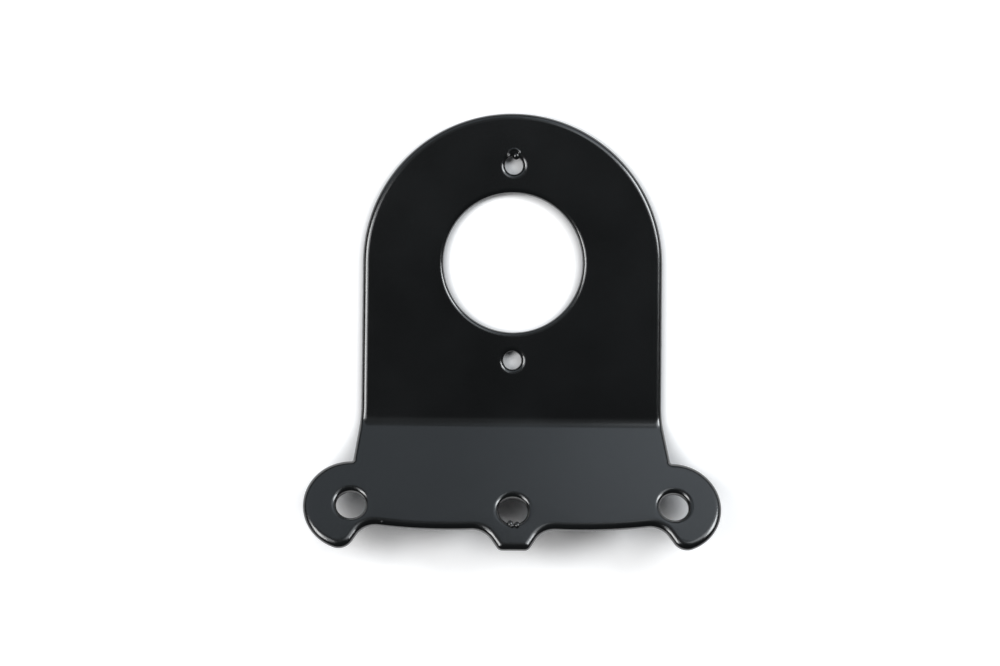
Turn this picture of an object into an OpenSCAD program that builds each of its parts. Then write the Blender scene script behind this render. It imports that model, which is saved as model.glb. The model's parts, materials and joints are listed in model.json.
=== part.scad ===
// Speedometer bracket: one sheet, cut to a flat blank with rolled edges, then folded once.
// The plate lies flat with its front face up. The flange leans up from it towards -Y.
// Lengths in millimetres, angles in degrees.

/* [Sheet] */
// Thickness of the sheet
sheet_t = 3; // [2:0.1:5]
// Radius of the rolled edge on the front face, as a part of the thickness
front_round = 0.47; // [0.15:0.01:0.6]
// Radius of the rolled edge on the back face, as a part of the thickness
back_round = 0.38; // [0.04:0.01:0.5]
// Radius of the rolled lip at each hole, as a part of the thickness
lip_round = 0.37; // [0.15:0.01:0.6]
// Size of the broken edge behind each hole, as a part of the thickness
bore_round = 0.13; // [0.04:0.01:0.35]

/* [Plate] */
// Width of the plate, and diameter of its round top
plate_w = 86; // [76:0.5:100]
// Diameter of the hole for the instrument
instrument_d = 40; // [25:0.5:46]
// Diameter of the two stud holes
stud_d = 5.2; // [4:0.1:8]
// Distance between the two stud holes
stud_pitch = 56; // [52:0.5:62]

/* [Fold] */
// Distance from the instrument hole's centre to the fold line
fold_drop = 45.7; // [42:0.1:60]
// Angle by which the flange is folded up
fold_angle = 26; // [5:1:60]
// Inner radius of the fold
fold_r = 8; // [2:0.5:10]
// Place of the neutral fibre, as a part of the thickness from the inner face
neutral_fibre = 0.42; // [0.3:0.01:0.5]

/* [Flange] */
// How far each side flares out past the plate's side before it meets the ear
flare_out = 2.05; // [0.5:0.05:6]
// Length of the plate's side, above the fold line, over which the flare starts
flare_lead = 4.7; // [2:0.1:8]
// Radius that blends each side into its flare
flare_r = 40; // [15:1:80]
// Distance from the line of the ear holes to the lower edge, at its lowest
edge_below = 7.15; // [5:0.05:9]
// Radius of each half of the lower edge
edge_arc_r = 155; // [80:5:600]
// Distance from the middle to the lowest place of each half of the lower edge
edge_low_x = 18.8; // [14:0.1:24]

/* [Ears] */
// Distance between the two ear holes
ear_pitch = 91; // [86:0.5:104]
// Distance from the fold line to the ear holes
ear_drop = 25.55; // [21:0.05:34]
// Diameter of the ear holes
ear_hole_d = 8.3; // [5:0.1:12]
// Outer radius of each ear
ear_r = 13.4; // [12:0.05:16]
// Radius of the tight corner between a side and its ear
ear_corner_r = 0.6; // [0.3:0.1:3]
// Radius of the heel at the foot of each ear
heel_r = 4.4; // [3:0.1:6]
// Direction of the heel from its hole, measured outwards from straight down
heel_angle = 21; // [0:0.5:30]
// Slope of the flank between the heel and the notch
heel_slope = 57.2; // [40:0.1:65]
// Radius of the notch between the flank and the lower edge
notch_r = 6.2; // [3:0.1:8]

/* [Tab] */
// Width of the tab across its corners
tab_w = 10; // [7:0.1:14]
// Distance from the lower edge to the foot of the tab
tab_length = 6.1; // [5:0.1:12]
// How much the radius of the tab's corners exceeds that of the rolled edges
tab_corner_over = 0.2; // [0.05:0.05:1]
// Slope of the tab's sides
tab_slope = 57.1; // [45:0.1:70]
// Radius of the blend between each side of the tab and the lower edge
tab_root_r = 6.4; // [3:0.1:8]
// Diameter of the hole above the tab
tab_hole_d = 8.3; // [5:0.1:12]
// How far that hole lies below the line of the ear holes
tab_hole_below = 1.5; // [0:0.1:3]

/* [Hidden] */
$fn = 96;

front_edge_r = front_round * sheet_t;
back_edge_r = back_round * sheet_t;
lip_r = lip_round * sheet_t;
bore_edge_r = bore_round * sheet_t;
tab_corner_r = max(front_edge_r, back_edge_r) + tab_corner_over;
tab_hole_drop = ear_drop + tab_hole_below;

// Facets across the front and back edges
front_steps = 4;
back_steps = 3;
// How far a cutter stands past the faces, and its lip past the front face
cut_over = 1;
lip_over = 0.05;

// Flat length from the fold line to the start of the bend, and the bend's length along the blank
fold_setback = fold_r * tan(fold_angle / 2);
bend_start = fold_drop - fold_setback;
bend_length = (fold_r + neutral_fibre * sheet_t) * fold_angle * PI / 180;
axis_z = sheet_t + fold_r;

// Height on the flat blank of a place on the flange, given from the fold line
function blank_y(drop) = -bend_start - bend_length - (drop - fold_setback);

// The blank's right half as a belt that runs clockwise round pegs: [x, y, radius, facets].
// A negative radius is a peg that stands outside the sheet and makes a hollow corner.
top_peg = [0, 0, plate_w / 2, 24];
flare_peg = [plate_w / 2 + flare_r, flare_lead - fold_drop, -flare_r, 14];
ear_peg = [ear_pitch / 2, blank_y(ear_drop), ear_r, 34];
edge_peg = [edge_low_x, blank_y(ear_drop + edge_below) + edge_arc_r, edge_arc_r, 6];
corner_turn = asin((plate_w / 2 + flare_out + ear_corner_r - ear_peg.x) / (ear_r + ear_corner_r));
corner_peg = [
    ear_peg.x + (ear_r + ear_corner_r) * sin(corner_turn),
    ear_peg.y + (ear_r + ear_corner_r) * cos(corner_turn),
    -ear_corner_r, 6];
heel_peg = [
    ear_peg.x + (ear_r - heel_r) * sin(heel_angle),
    ear_peg.y - (ear_r - heel_r) * cos(heel_angle),
    heel_r, 10];
tab_peg = [
    tab_w / 2 - tab_corner_r,
    blank_y(ear_drop + edge_below + tab_length) + tab_corner_r,
    tab_corner_r, 8];
// A hollow corner that touches the lower edge from below, and a flank that climbs left from a rounded foot
function hollow_corner(foot, edge, slope, r) =
    let (
        along = [-cos(slope), sin(slope)],
        out = [-along.y, along.x],
        start = [foot.x - edge.x, foot.y - edge.y] + (foot[2] + r) * out,
        across = start * along,
        centre = start - (across + sqrt(across ^ 2 - start * start + (edge[2] + r) ^ 2)) * along)
    [edge.x + centre.x, edge.y + centre.y, -r, 10];
function mirrored(p) = [-p.x, p.y, p[2], p[3]];
notch_peg = hollow_corner(heel_peg, edge_peg, heel_slope, notch_r);
root_peg = mirrored(hollow_corner(mirrored(tab_peg), mirrored(edge_peg), tab_slope, tab_root_r));
pegs = [top_peg, flare_peg, corner_peg, ear_peg, heel_peg, notch_peg, edge_peg, root_peg, tab_peg];
edge_index = 6;

// Direction of the belt from one peg to the next
function clamp1(v) = min(1, max(-1, v));
function heading(a, b) =
    let (d = [b.x - a.x, b.y - a.y])
    atan2(d.y, d.x) + asin(clamp1((b[2] - a[2]) / norm(d)));
headings = [0, for (i = [1:len(pegs) - 1]) heading(pegs[i - 1], pegs[i]), -180];
// Turn of the belt round a peg: clockwise is negative, and a hair's backward turn stays small
slack = 5;
function wrap(a) = a + slack - 360 * floor((a + slack) / 360) - slack;
function turn(i) =
    pegs[i][2] > 0 ? -wrap(headings[i] - headings[i + 1]) : wrap(headings[i + 1] - headings[i]);

// Places along the belt, each with its outward direction: [x, y, out x, out y]
function arc_places(i) = [
    for (k = [0:pegs[i][3]])
        let (h = headings[i] + turn(i) * k / pegs[i][3], out = [-sin(h), cos(h)])
        [pegs[i].x + pegs[i][2] * out.x, pegs[i].y + pegs[i][2] * out.y, out.x, out.y]];
// Straight runs get a place at each of the bend's steps that they cross
bend_steps = 10;
function run_places(a, b) = [
    for (k = [0:bend_steps])
        let (y = -bend_start - bend_length * k / bend_steps, f = (a.y - y) / (a.y - b.y))
        if (f > 0.01 && f < 0.99)
            [a.x + (b.x - a.x) * f, y, a[2], a[3]]];
function belt(i) =
    let (arc = arc_places(i))
    i == len(pegs) - 1 ? arc : [each arc, each run_places(arc[len(arc) - 1], arc_places(i + 1)[0])];
stretches = [for (i = [0:len(pegs) - 1]) belt(i)];
half = [for (s = stretches) each s];
half_count = len(half);
outline = [each half, for (i = [half_count - 1:-1:1]) [-half[i].x, half[i].y, -half[i][2], half[i][3]]];
count = len(outline);

// Section of the edge from the back face to the front face: [inset, height]
edge_section = [
    for (k = [0:back_steps])
        let (a = 90 * k / back_steps)
        [back_edge_r * (1 - sin(a)), back_edge_r * (1 - cos(a))],
    for (k = [0:front_steps])
        let (a = 90 * k / front_steps)
        [front_edge_r * (1 - cos(a)), sheet_t - front_edge_r * (1 - sin(a))]];
rings = len(edge_section);

// Carries a point of the flat blank to its place on the folded sheet
function fold(p) =
    let (
        run = -bend_start - p.y,
        a = fold_angle * min(1, max(0, run / bend_length)),
        past = max(0, run - bend_length),
        r = axis_z - p.z)
    run <= 0 ? p : [p.x, -bend_start - r * sin(a) - past * cos(a), axis_z - r * cos(a) + past * sin(a)];

// Each face of the sheet fans out from its holes: plate, right ear, tab, left ear
hubs = [
    [0, 0],
    [ear_peg.x, ear_peg.y],
    [0, blank_y(tab_hole_drop)],
    [-ear_peg.x, ear_peg.y]];
sheet_points = [
    for (e = edge_section) for (p = outline) fold([p.x - e.x * p[2], p.y - e.x * p[3], e.y]),
    for (z = [0, sheet_t]) for (h = hubs) fold([h.x, h.y, z])];

function quad(a, b, c, d) = [[a, b, c], [a, c, d]];
function total(v, n) = n == 0 ? 0 : v[n - 1] + total(v, n - 1);
// Last place on the plate, first place on the flange, and the place where ear and tab part
plate_end = len([for (p = half) if (p.y >= -bend_start) 1]) - 1;
flange_start = len([for (p = half) if (p.y > -bend_start - bend_length) 1]);
edge_middle = total([for (s = stretches) len(s)], edge_index) + floor(edge_peg[3] / 2);

function fan(hub, first, last) = [for (i = [first:last - 1]) [hub, i, (i + 1) % count]];
function face_triangles(hub) = [
    each fan(hub, count - plate_end, count + plate_end),
    [hub, plate_end, count - plate_end],
    for (i = [plate_end:flange_start - 1]) each quad(i, i + 1, count - i - 1, count - i),
    each fan(hub + 1, flange_start, edge_middle),
    each fan(hub + 2, edge_middle, count - edge_middle),
    each fan(hub + 3, count - edge_middle, count - flange_start),
    [hub + 1, edge_middle, hub + 2],
    [hub + 2, count - edge_middle, hub + 3],
    [flange_start, hub + 1, hub + 2],
    [hub + 2, hub + 3, count - flange_start],
    [flange_start, hub + 2, count - flange_start]];

// The face's own places count from the ring they lie on, and its hubs from the end of the rings
function on_ring(i, ring) = i >= count * rings ? i : i % count + ring * count;
back_hub = count * rings;
front_hub = back_hub + len(hubs);
sheet_faces = [
    for (j = [0:rings - 2]) for (i = [0:count - 1])
        let (n = (i + 1) % count)
        each quad(j * count + i, j * count + n, (j + 1) * count + n, (j + 1) * count + i),
    for (t = face_triangles(front_hub)) [for (i = t) on_ring(i, rings - 1)],
    for (t = face_triangles(back_hub)) [for (k = [2:-1:0]) on_ring(t[k], 0)]];

module folded_sheet() {
    polyhedron(points = sheet_points, faces = sheet_faces, convexity = 6);
}

// Cutter for a round hole with a rolled lip in front and a broken edge behind
module hole(d) {
    r = d / 2;
    lip = [
        for (k = [0:front_steps])
            let (a = 90 * k / front_steps)
            [r + lip_r * (1 - cos(a)), sheet_t + lip_over - lip_r * (1 - sin(a))]];
    rotate_extrude()
        polygon([
            [0, -cut_over], [r + bore_edge_r + cut_over, -cut_over], [r, bore_edge_r],
            each lip,
            [r + lip_r, sheet_t + cut_over], [0, sheet_t + cut_over]]);
}

// Puts a hole on the flange, at a distance from the middle and from the fold line
module on_flange(x, drop) {
    translate([0, -bend_start, axis_z])
        rotate([-fold_angle, 0, 0])
            translate([x, fold_setback - drop, -axis_z])
                children();
}

module bracket() {
    color([0.1, 0.1, 0.11])
        difference() {
            folded_sheet();
            hole(instrument_d);
            for (side = [-1, 1]) {
                translate([0, side * stud_pitch / 2, 0])
                    hole(stud_d);
                on_flange(side * ear_pitch / 2, ear_drop)
                    hole(ear_hole_d);
            }
            on_flange(0, tab_hole_drop)
                hole(tab_hole_d);
        }
}

bracket();
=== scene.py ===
import json
import math

import bmesh
import bpy
from mathutils import Matrix, Vector


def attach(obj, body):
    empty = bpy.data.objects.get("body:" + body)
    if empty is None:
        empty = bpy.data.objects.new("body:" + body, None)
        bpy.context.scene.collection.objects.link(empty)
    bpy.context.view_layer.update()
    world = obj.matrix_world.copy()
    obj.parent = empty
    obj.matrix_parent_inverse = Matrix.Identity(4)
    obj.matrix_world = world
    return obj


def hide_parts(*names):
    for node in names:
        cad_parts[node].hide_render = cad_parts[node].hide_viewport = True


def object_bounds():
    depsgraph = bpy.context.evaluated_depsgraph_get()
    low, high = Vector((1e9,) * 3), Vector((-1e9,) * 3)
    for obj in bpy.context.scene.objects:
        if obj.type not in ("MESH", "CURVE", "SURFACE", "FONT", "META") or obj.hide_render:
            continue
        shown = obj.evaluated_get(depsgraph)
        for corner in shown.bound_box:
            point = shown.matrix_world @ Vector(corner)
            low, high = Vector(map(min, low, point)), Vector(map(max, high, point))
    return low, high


mm = 0.001
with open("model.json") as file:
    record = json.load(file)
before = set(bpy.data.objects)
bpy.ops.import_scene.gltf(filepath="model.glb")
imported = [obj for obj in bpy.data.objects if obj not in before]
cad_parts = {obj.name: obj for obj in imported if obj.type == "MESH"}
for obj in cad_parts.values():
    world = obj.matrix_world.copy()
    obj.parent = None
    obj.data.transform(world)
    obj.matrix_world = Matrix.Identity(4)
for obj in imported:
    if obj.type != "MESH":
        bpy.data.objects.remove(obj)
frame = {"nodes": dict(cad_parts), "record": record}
cadLow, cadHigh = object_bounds()
mounts = {m["name"]: m for m in frame["record"]["mounts"]}
print("frame loaded:", sorted(frame["nodes"]))

scene = bpy.context.scene
scene.view_settings.view_transform = "Standard"

# sizes in millimetres and degrees, drops are measured from the fold line
bracket = {
    "sheet": 3.0,
    "frontEdge": 1.41,
    "backEdge": 1.14,
    "holeLip": 1.11,
    "plateWidth": 86.0,
    "foldDrop": 45.7,
    "foldAngle": 26.0,
    "foldRadius": 8.0,
    "neutralFibre": 0.42,
    "flareOut": 2.05,
    "flareLead": 4.7,
    "flareRadius": 40.0,
    "edgeBelow": 7.15,
    "edgeArc": 155.0,
    "edgeLowX": 18.8,
    "earPitch": mounts["ear_holes"]["dims"]["pcd_mm"],
    "earDrop": 25.55,
    "earRadius": 13.4,
    "earCorner": 0.6,
    "heelRadius": 4.4,
    "heelAngle": 21.0,
    "heelSlope": 57.2,
    "notchRadius": 6.2,
    "tabWidth": 10.0,
    "tabLength": 6.1,
    "tabCorner": 1.95,
    "tabSlope": 57.1,
    "tabRoot": 6.4,
    "tabHoleBelow": 1.5,
    "edgeSpread": 1.35,
    "frontSteps": 8,
    "backSteps": 5,
    "bendSteps": 14,
    "pegSteps": {
        "top": 48, "flare": 14, "corner": 8, "ear": 90, "heel": 24, "hollow": 16, "edge": 10, "tab": 10},
    "holeSteps": {"instrument": 144, "stud": 48, "bolt": 64},
    "outlineWeld": 2e-5,
    "sheetWeld": 2e-6,
    "flatWeight": 80,
}
b = bracket

# the flat blank: where the bend starts, how long it is and the height of its axis
setback = b["foldRadius"] * math.tan(math.radians(b["foldAngle"] / 2))
bendStart = b["foldDrop"] - setback
bendLength = (b["foldRadius"] + b["neutralFibre"] * b["sheet"]) * math.radians(b["foldAngle"])
axisHeight = b["sheet"] + b["foldRadius"]

# the blank is built thicker by the edge spread and pressed flat, so the rolled edges are wider than deep
stretched = {k: b[k] * b["edgeSpread"] for k in ("sheet", "frontEdge", "backEdge", "holeLip")}


def blankY(drop):
    return -bendStart - bendLength - (drop - setback)


def foldPoint(p):  # a place on the flat blank, in metres, carried round the bend
    run = -bendStart * mm - p.y
    if run <= 0:
        return p.copy()
    turn = math.radians(b["foldAngle"]) * min(1, run / (bendLength * mm))
    past = max(0, run - bendLength * mm)
    r = axisHeight * mm - p.z
    y = -bendStart * mm - r * math.sin(turn) - past * math.cos(turn)
    return Vector((p.x, y, axisHeight * mm - r * math.cos(turn) + past * math.sin(turn)))


def hollowCorner(foot, edge, slope, r):  # rests under the lower edge and against a flank that climbs left
    along = Vector((-math.cos(math.radians(slope)), math.sin(math.radians(slope))))
    out = Vector((-along.y, along.x))
    start = Vector((foot[0] - edge[0], foot[1] - edge[1])) + (foot[2] + r) * out
    across = start.dot(along)
    centre = start - (across + math.sqrt(across ** 2 - start.dot(start) + (edge[2] + r) ** 2)) * along
    return (edge[0] + centre.x, edge[1] + centre.y, -r, b["pegSteps"]["hollow"])


def mirrored(peg):
    return (-peg[0], *peg[1:])


def outlinePegs():  # right half, clockwise: x, y, radius (negative where the corner is hollow), steps
    half, steps = b["plateWidth"] / 2, b["pegSteps"]
    earX, earY = b["earPitch"] / 2, blankY(b["earDrop"])
    ear = (earX, earY, b["earRadius"], steps["ear"])
    flareY = b["flareLead"] - b["foldDrop"]
    flare = (half + b["flareRadius"], flareY, -b["flareRadius"], steps["flare"])
    edgeY = blankY(b["earDrop"] + b["edgeBelow"]) + b["edgeArc"]
    edge = (b["edgeLowX"], edgeY, b["edgeArc"], steps["edge"])
    reach = b["earRadius"] + b["earCorner"]
    turn = math.asin((half + b["flareOut"] + b["earCorner"] - earX) / reach)
    corner = (
        earX + reach * math.sin(turn), earY + reach * math.cos(turn), -b["earCorner"], steps["corner"])
    lean = math.radians(b["heelAngle"])
    inner = b["earRadius"] - b["heelRadius"]
    heel = (
        earX + inner * math.sin(lean), earY - inner * math.cos(lean), b["heelRadius"], steps["heel"])
    foot = blankY(b["earDrop"] + b["edgeBelow"] + b["tabLength"])
    tabX = b["tabWidth"] / 2 - b["tabCorner"]
    tab = (tabX, foot + b["tabCorner"], b["tabCorner"], steps["tab"])
    notch = hollowCorner(heel, edge, b["heelSlope"], b["notchRadius"])
    root = mirrored(hollowCorner(mirrored(tab), mirrored(edge), b["tabSlope"], b["tabRoot"]))
    return [(0, 0, half, steps["top"]), flare, corner, ear, heel, notch, edge, root, tab]


def heading(a, c):  # direction of the straight run that touches two pegs
    away = Vector((c[0] - a[0], c[1] - a[1]))
    return math.atan2(away.y, away.x) + math.asin(max(-1, min(1, (c[2] - a[2]) / away.length)))


def layOutline(bm):
    pegs = outlinePegs()
    runs = [0] + [heading(a, c) for a, c in zip(pegs, pegs[1:])] + [-math.pi]
    last = None
    slack = 0.1  # radians that a run may lean back
    for peg, start, end in zip(pegs, runs, runs[1:]):
        x, y, r, steps = peg
        sign = 1 if r > 0 else -1
        turn = -sign * ((sign * (start - end) + slack) % (2 * math.pi) - slack)
        first = bm.verts.new((Vector((x - r * math.sin(start), y + r * math.cos(start), 0)) * mm))
        if last:
            bm.edges.new((last, first))
        centre = Vector((x, y, 0)) * mm
        arc = bmesh.ops.spin(bm, geom=[first], cent=centre, axis=(0, 0, 1), angle=turn, steps=steps)
        last = next(g for g in arc["geom_last"] if isinstance(g, bmesh.types.BMVert))
    middle = bm.verts.new((0, last.co.y, 0))
    bm.edges.new((last, middle))
    bmesh.ops.mirror(bm, geom=bm.verts[:] + bm.edges[:], axis="X", merge_dist=1e-6)
    bmesh.ops.remove_doubles(bm, verts=bm.verts[:], dist=b["outlineWeld"])


def spinBore(bm, x, y, r, steps):  # rounded back edge, bore and rolled front lip, on the stretched blank
    others = set(bm.verts)
    quarter = math.radians(90)
    back, lip = stretched["backEdge"], stretched["holeLip"]
    start = bm.verts.new(Vector((x + r + back, y, 0)) * mm)
    last = start
    for radius, height, rounds in (
            (back, back, b["backSteps"]),
            (lip, stretched["sheet"] - lip, b["frontSteps"])):
        if last is not start:
            above = bm.verts.new((last.co.x, last.co.y, height * mm))
            bm.edges.new((last, above))
            last = above
        pivot = Vector((x + r + radius, y, height)) * mm
        arc = bmesh.ops.spin(bm, geom=[last], cent=pivot, axis=(0, 1, 0), angle=quarter, steps=rounds)
        last = next(g for g in arc["geom_last"] if isinstance(g, bmesh.types.BMVert))
    profile = [v for v in bm.verts if v not in others]
    edges = [g for g in bm.edges if g.verts[0] not in others]
    bmesh.ops.spin(
        bm, geom=profile + edges, cent=Vector((x, y, 0)) * mm, axis=(0, 0, 1),
        angle=math.radians(360), steps=steps, use_merge=True)


def toObject(name, bm):
    mesh = bpy.data.meshes.new(name)
    bm.to_mesh(mesh)
    bm.free()
    made = bpy.data.objects.new(name, mesh)
    scene.collection.objects.link(made)
    return made


def holePlaces():  # x, y and radius on the flat blank, steps round the hole
    earX, earY = b["earPitch"] / 2, blankY(b["earDrop"])
    studs, ears = mounts["stud_holes"]["dims"], mounts["ear_holes"]["dims"]
    studY, steps = studs["spacing_y_mm"] / 2, b["holeSteps"]
    tabY = blankY(b["earDrop"] + b["tabHoleBelow"])
    return [
        (0, 0, mounts["instrument_hole"]["dims"]["r_mm"], steps["instrument"]),
        (0, studY, studs["hole_r_mm"], steps["stud"]),
        (0, -studY, studs["hole_r_mm"], steps["stud"]),
        (-earX, earY, ears["hole_r_mm"], steps["bolt"]),
        (earX, earY, ears["hole_r_mm"], steps["bolt"]),
        (0, tabY, mounts["tab_hole"]["dims"]["r_mm"], steps["bolt"]),
    ]


def onLevel(z, geom):
    return all(abs(v.co.z - z) < 1e-6 for v in geom.verts)


def makeBlank():  # flat sheet with a rolled front edge, a rounded back edge and its holes
    bm = bmesh.new()
    layOutline(bm)
    bmesh.ops.edgeloop_fill(bm, edges=bm.edges[:])
    raised = bmesh.ops.extrude_face_region(bm, geom=bm.faces[:])
    topVerts = [g for g in raised["geom"] if isinstance(g, bmesh.types.BMVert)]
    bmesh.ops.translate(bm, verts=topVerts, vec=(0, 0, stretched["sheet"] * mm))
    bmesh.ops.recalc_face_normals(bm, faces=bm.faces[:])
    levels = {"frontEdge": stretched["sheet"] * mm, "backEdge": 0.0}
    for edge, rounds in (("frontEdge", b["frontSteps"]), ("backEdge", b["backSteps"])):
        rim = [g for g in bm.edges if onLevel(levels[edge], g)]
        bmesh.ops.bevel(
            bm, geom=rim, offset=stretched[edge] * mm, offset_type="OFFSET", segments=rounds, profile=0.5,
            affect="EDGES", clamp_overlap=False, material=-1)
    flats = [f for f in bm.faces if any(onLevel(z, f) for z in levels.values())]
    bmesh.ops.delete(bm, geom=flats, context="FACES_ONLY")
    for place in holePlaces():
        spinBore(bm, *place)
    for z in levels.values():
        rim = [g for g in bm.edges if g.is_boundary and onLevel(z, g)]
        bmesh.ops.triangle_fill(bm, edges=rim, use_beauty=True, normal=(0, 0, 1))
    bmesh.ops.scale(bm, verts=bm.verts[:], vec=(1, 1, 1 / b["edgeSpread"]))
    bmesh.ops.recalc_face_normals(bm, faces=bm.faces[:])
    return toObject("bracket_sheet", bm)


def foldSheet(made):
    bm = bmesh.new()
    bm.from_mesh(made.data)
    bmesh.ops.remove_doubles(bm, verts=bm.verts[:], dist=b["sheetWeld"])
    for k in range(b["bendSteps"] + 1):
        y = -bendStart - bendLength * k / b["bendSteps"]
        bmesh.ops.bisect_plane(
            bm, geom=bm.verts[:] + bm.edges[:] + bm.faces[:], dist=1e-7,
            plane_co=(0, y * mm, 0), plane_no=(0, -1, 0))
    for v in bm.verts:
        v.co = foldPoint(v.co)
    for f in bm.faces:
        f.smooth = True
    bm.to_mesh(made.data)
    bm.free()


sheet = makeBlank()
foldSheet(sheet)
flatFaces = sheet.modifiers.new("flat faces", "WEIGHTED_NORMAL")
flatFaces.mode = "FACE_AREA"
flatFaces.weight = b["flatWeight"]
print("bracket folded:", len(sheet.data.polygons), "faces")

# what coating left behind: a drip with a raised ring where the part hung, and small bits
marks = {
    "hangHole": (0, mounts["stud_holes"]["dims"]["spacing_y_mm"] / 2),
    "drip": {"away": (0.6, 2.8), "height": 2.05, "radii": (1.05, 1.15, 0.95)},
    "ring": {"away": (0.0, 3.04), "radius": 1.6, "height": 2.7, "thick": 0.6, "from": 14, "turn": 184},
    "tabBits": ((-0.9, -4.4, 2.9, 0.85), (-0.4, -4.95, 3.0, 0.65), (1.0, -4.8, 3.0, 0.85)),
    "tabBitShape": (1, 1.2, 0.9),
    "notchBit": (8.8, -5.3, 2.75, 0.3),
    "notchBitShape": (1, 1, 0.5),
    "beadSteps": (24, 14),
    "ringSides": 16,
    "ringSteps": 40,
}


def addBead(bm, place, radii):
    shape = Matrix.Translation(Vector(place) * mm) @ Matrix.Diagonal((*(Vector(radii) * mm), 1))
    around, along = marks["beadSteps"]
    bmesh.ops.create_uvsphere(bm, u_segments=around, v_segments=along, radius=1, matrix=shape)


def makeMarks():
    bm = bmesh.new()
    x, y = marks["hangHole"]
    drip, ring = marks["drip"], marks["ring"]
    addBead(bm, (x + drip["away"][0], y + drip["away"][1], drip["height"]), drip["radii"])
    middle = Vector((x + ring["away"][0], y + ring["away"][1], ring["height"])) * mm
    aside = Matrix.Translation(middle + Vector((ring["radius"] * mm, 0, 0)))
    section = aside @ Matrix.Rotation(math.radians(90), 4, "X")
    lay = Matrix.Translation(middle) @ Matrix.Rotation(math.radians(ring["from"]), 4, "Z")
    circle = bmesh.ops.create_circle(
        bm, segments=marks["ringSides"], radius=ring["thick"] * mm, cap_ends=True,
        matrix=lay @ Matrix.Translation(-middle) @ section)
    loop = list({g for v in circle["verts"] for g in v.link_edges})
    faces = list({f for v in circle["verts"] for f in v.link_faces})
    bmesh.ops.spin(
        bm, geom=circle["verts"] + loop + faces, cent=middle, axis=(0, 0, 1),
        angle=math.radians(ring["turn"]), steps=marks["ringSteps"])
    tabY = blankY(b["earDrop"] + b["tabHoleBelow"])
    for dx, dy, z, r in marks["tabBits"]:
        addBead(bm, (dx, tabY + dy, z), [r * k for k in marks["tabBitShape"]])
    dx, dy, z, r = marks["notchBit"]
    place = (dx - b["earPitch"] / 2, blankY(b["earDrop"]) + dy, z)
    addBead(bm, place, [r * k for k in marks["notchBitShape"]])
    bmesh.ops.recalc_face_normals(bm, faces=bm.faces[:])
    for v in bm.verts:
        v.co = foldPoint(v.co)
    for f in bm.faces:
        f.smooth = True
    return toObject("coat_marks", bm)


coatMarks = makeMarks()
print("coating marks:", len(coatMarks.data.polygons), "faces")

# powder coat: near black, semi-gloss, with a fine orange peel
coat = {
    "colour": (0.0042, 0.0048, 0.005, 1),
    "colourPale": (0.0056, 0.0064, 0.0068, 1),
    "roughness": (0.18, 0.22),
    "ior": 1.8,
    "peelSize": 1.1,
    "peelHeight": 0.004,
    "grainSize": 0.25,
    "grainHeight": 0.0012,
    "driftSize": 26.0,
    "patchRange": (0.35, 0.65),
    "glossRange": (0.3, 0.7),
}


def coatGroup():  # height of the orange peel and grain, a slow drift, and patches cut from the drift
    group = bpy.data.node_groups.new("powder coat surface", "ShaderNodeTree")
    sockets = (
        ("Peel Size", "INPUT", "NodeSocketFloat"),
        ("Grain Size", "INPUT", "NodeSocketFloat"),
        ("Drift Size", "INPUT", "NodeSocketFloat"),
        ("Grain Share", "INPUT", "NodeSocketFloat"),
        ("Height", "OUTPUT", "NodeSocketFloat"),
        ("Drift", "OUTPUT", "NodeSocketFloat"),
        ("Patches", "OUTPUT", "NodeSocketFloat"),
    )
    for name, way, kind in sockets:
        group.interface.new_socket(name=name, in_out=way, socket_type=kind)
    nodes, links = group.nodes, group.links
    inside, outside = nodes.new("NodeGroupInput"), nodes.new("NodeGroupOutput")
    place = nodes.new("ShaderNodeTexCoord")

    def noiseOf(size, detail):
        scale = nodes.new("ShaderNodeMath")
        scale.operation = "DIVIDE"
        scale.inputs[0].default_value = 1 / mm
        links.new(inside.outputs[size], scale.inputs[1])
        texture = nodes.new("ShaderNodeTexNoise")
        texture.inputs["Detail"].default_value = detail
        links.new(place.outputs["Object"], texture.inputs["Vector"])
        links.new(scale.outputs[0], texture.inputs["Scale"])
        return texture.outputs["Fac"]

    peel, grain, drift = noiseOf("Peel Size", 1.0), noiseOf("Grain Size", 2.0), noiseOf("Drift Size", 3.0)
    mix = nodes.new("ShaderNodeMix")
    links.new(inside.outputs["Grain Share"], mix.inputs["Factor"])
    links.new(peel, mix.inputs["A"])
    links.new(grain, mix.inputs["B"])
    patches = nodes.new("ShaderNodeMapRange")
    patches.inputs["From Min"].default_value = coat["patchRange"][0]
    patches.inputs["From Max"].default_value = coat["patchRange"][1]
    links.new(drift, patches.inputs["Value"])
    links.new(mix.outputs["Result"], outside.inputs["Height"])
    links.new(drift, outside.inputs["Drift"])
    links.new(patches.outputs["Result"], outside.inputs["Patches"])
    return group


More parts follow.
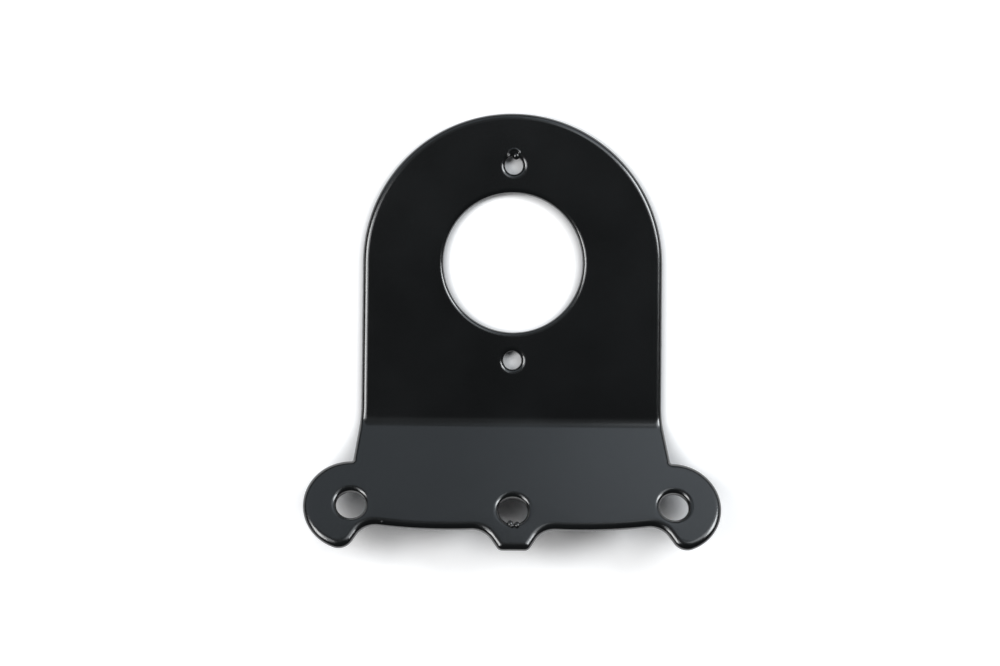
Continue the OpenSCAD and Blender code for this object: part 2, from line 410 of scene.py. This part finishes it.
def coatMaterial(name, group):
    material = bpy.data.materials.new(name)
    material.use_nodes = True
    nodes, links = material.node_tree.nodes, material.node_tree.links
    shader = nodes["Principled BSDF"]
    surface = nodes.new("ShaderNodeGroup")
    surface.node_tree = group
    surface.inputs["Peel Size"].default_value = coat["peelSize"]
    surface.inputs["Grain Size"].default_value = coat["grainSize"]
    surface.inputs["Drift Size"].default_value = coat["driftSize"]
    relief = coat["peelHeight"] + coat["grainHeight"]
    surface.inputs["Grain Share"].default_value = coat["grainHeight"] / relief
    colour = nodes.new("ShaderNodeMix")
    colour.data_type = "RGBA"
    colour.inputs["A"].default_value = coat["colour"]
    colour.inputs["B"].default_value = coat["colourPale"]
    links.new(surface.outputs["Patches"], colour.inputs["Factor"])
    links.new(colour.outputs["Result"], shader.inputs["Base Color"])
    gloss = nodes.new("ShaderNodeMapRange")
    gloss.inputs["From Min"].default_value = coat["glossRange"][0]
    gloss.inputs["From Max"].default_value = coat["glossRange"][1]
    gloss.inputs["To Min"].default_value = coat["roughness"][0]
    gloss.inputs["To Max"].default_value = coat["roughness"][1]
    links.new(surface.outputs["Drift"], gloss.inputs["Value"])
    links.new(gloss.outputs["Result"], shader.inputs["Roughness"])
    bump = nodes.new("ShaderNodeBump")
    bump.inputs["Strength"].default_value = 1.0
    bump.inputs["Distance"].default_value = relief * mm
    links.new(surface.outputs["Height"], bump.inputs["Height"])
    links.new(bump.outputs["Normal"], shader.inputs["Normal"])
    shader.inputs["IOR"].default_value = coat["ior"]
    return material


powderCoat = coatMaterial("powder coat", coatGroup())
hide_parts("bracket")
for piece in (sheet, coatMarks):
    piece.data.materials.append(powderCoat)
    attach(piece, "root")
print("powder coat on the sheet")

# pale floor that keeps the shadow; its glow for camera, glossy and transmission rays is faded by ambient
# occlusion, a painted shade under and beside the bracket
floorLook = {
    "size": 12.0,
    "gap": 0.0002,
    "roughness": 0.9,
    "colour": (0.93, 0.93, 0.935, 1),
    "lift": 0.6,
    "shadeReach": 0.055,
    "shadeFrom": 0.485,
    "shadeTo": 0.88,
    "shadeSamples": 8,
}


def makeFloor():
    bm = bmesh.new()
    bmesh.ops.create_grid(bm, x_segments=1, y_segments=1, size=floorLook["size"] / 2)
    bmesh.ops.translate(bm, verts=bm.verts[:], vec=(0, 0, cadLow.z - floorLook["gap"]))
    made = toObject("floor", bm)
    material = bpy.data.materials.new("pale floor")
    material.use_nodes = True
    nodes, links = material.node_tree.nodes, material.node_tree.links
    shader = nodes["Principled BSDF"]
    shader.inputs["Base Color"].default_value = floorLook["colour"]
    shader.inputs["Roughness"].default_value = floorLook["roughness"]
    shader.inputs["Specular IOR Level"].default_value = 0.0
    shader.inputs["Emission Color"].default_value = (1, 1, 1, 1)
    rays = nodes.new("ShaderNodeLightPath")
    seen = nodes.new("ShaderNodeMath")
    seen.operation = "ADD"
    links.new(rays.outputs["Is Camera Ray"], seen.inputs[0])
    links.new(rays.outputs["Is Glossy Ray"], seen.inputs[1])
    every = nodes.new("ShaderNodeMath")
    every.operation = "ADD"
    links.new(seen.outputs[0], every.inputs[0])
    links.new(rays.outputs["Is Transmission Ray"], every.inputs[1])
    # painted shade: the floor's glow fades where ambient occlusion finds the bracket close, darkening the
    # floor under and beside it
    under = nodes.new("ShaderNodeAmbientOcclusion")
    under.samples = floorLook["shadeSamples"]
    under.inputs["Distance"].default_value = floorLook["shadeReach"]
    glowOutsideShade = nodes.new("ShaderNodeMapRange")
    glowOutsideShade.inputs["From Min"].default_value = floorLook["shadeFrom"]
    glowOutsideShade.inputs["From Max"].default_value = floorLook["shadeTo"]
    glowOutsideShade.inputs["To Max"].default_value = floorLook["lift"]
    links.new(under.outputs["AO"], glowOutsideShade.inputs["Value"])
    lift = nodes.new("ShaderNodeMath")
    lift.operation = "MULTIPLY"
    links.new(every.outputs[0], lift.inputs[0])
    links.new(glowOutsideShade.outputs["Result"], lift.inputs[1])
    links.new(lift.outputs[0], shader.inputs["Emission Strength"])
    made.data.materials.append(material)


makeFloor()
print("floor laid")

# soft studio light: dim boxes beyond the round top, bright boxes at both sides, a dark room
lamps = {
    "top left box": {"at": (-0.42, 0.87, 0.66), "size": (1.3, 0.62), "power": 1.12, "colour": (0.8, 0.9, 1)},
    "top right box": {"at": (0.6, 0.8, 0.66), "size": (1.0, 0.62), "power": 1.63, "colour": (0.82, 0.91, 1)},
    "mid box": {"at": (0.4, 0.55, 1.0), "size": (0.85, 0.24), "power": 0.15, "colour": (0.8, 0.9, 1)},
    "high box": {"at": (0.0, 0.62, 1.25), "size": (1.3, 0.8), "power": 0.33, "colour": (0.9, 0.97, 1)},
    "left box": {"at": (-0.55, 0.0, 0.57), "size": (0.44, 0.27), "power": 3.0, "colour": (1, 1, 1)},
    "left glow": {"at": (-0.4, 0.08, 0.75), "size": (0.34, 0.3), "power": 0.72, "colour": (0.95, 0.98, 1)},
    "right box": {"at": (0.55, 0.26, 0.52), "size": (0.36, 0.24), "power": 2.75, "colour": (0.95, 0.98, 1)},
    "right glow": {"at": (0.36, 0.38, 0.72), "size": (0.4, 0.3), "power": 0.58, "colour": (0.92, 0.97, 1)},
}
room = {"colour": (0.03, 0.03, 0.0315, 1), "strength": 1.0}


def makeLamp(name, look):
    lamp = bpy.data.lights.new(name, "AREA")
    lamp.shape = "RECTANGLE"
    lamp.size, lamp.size_y = look["size"]
    lamp.energy = look["power"]
    lamp.color = look["colour"]
    made = bpy.data.objects.new(name, lamp)
    made.location = look["at"]
    made.rotation_euler = (-Vector(look["at"])).to_track_quat("-Z", "Y").to_euler()
    scene.collection.objects.link(made)


for name, look in lamps.items():
    makeLamp(name, look)
world = bpy.data.worlds.new("dim room")
world.use_nodes = True
world.node_tree.nodes["Background"].inputs["Color"].default_value = room["colour"]
world.node_tree.nodes["Background"].inputs["Strength"].default_value = room["strength"]
scene.world = world
print("lamps:", ", ".join(lamps))

# view from almost straight above, turned so that the plate's middle line stands upright
viewFrom = {
    "target": (-3.628, -20.227, 3.0),
    "azimuth": -54.397,
    "elevation": 86.779,
    "roll": 54.982,
    "distance": 658.313,
    "lens": 82.825,
    "sensor": 36.0,
    "clip": (0.01, 50),
}


def makeCamera():
    az, el, roll = (math.radians(viewFrom[k]) for k in ("azimuth", "elevation", "roll"))
    back = Vector((math.sin(az) * math.cos(el), -math.cos(az) * math.cos(el), math.sin(el)))
    level = Vector((math.cos(az), math.sin(az), 0))
    upright = back.cross(level)
    right = math.cos(roll) * level + math.sin(roll) * upright
    up = math.cos(roll) * upright - math.sin(roll) * level
    data = bpy.data.cameras.new("camera")
    data.sensor_width = viewFrom["sensor"]
    data.lens = viewFrom["lens"]
    data.clip_start, data.clip_end = viewFrom["clip"]
    made = bpy.data.objects.new("camera", data)
    place = Matrix((right, up, back)).transposed().to_4x4()
    place.translation = (Vector(viewFrom["target"]) + viewFrom["distance"] * back) * mm
    made.matrix_world = place
    scene.collection.objects.link(made)
    scene.camera = made


makeCamera()
print("camera placed")
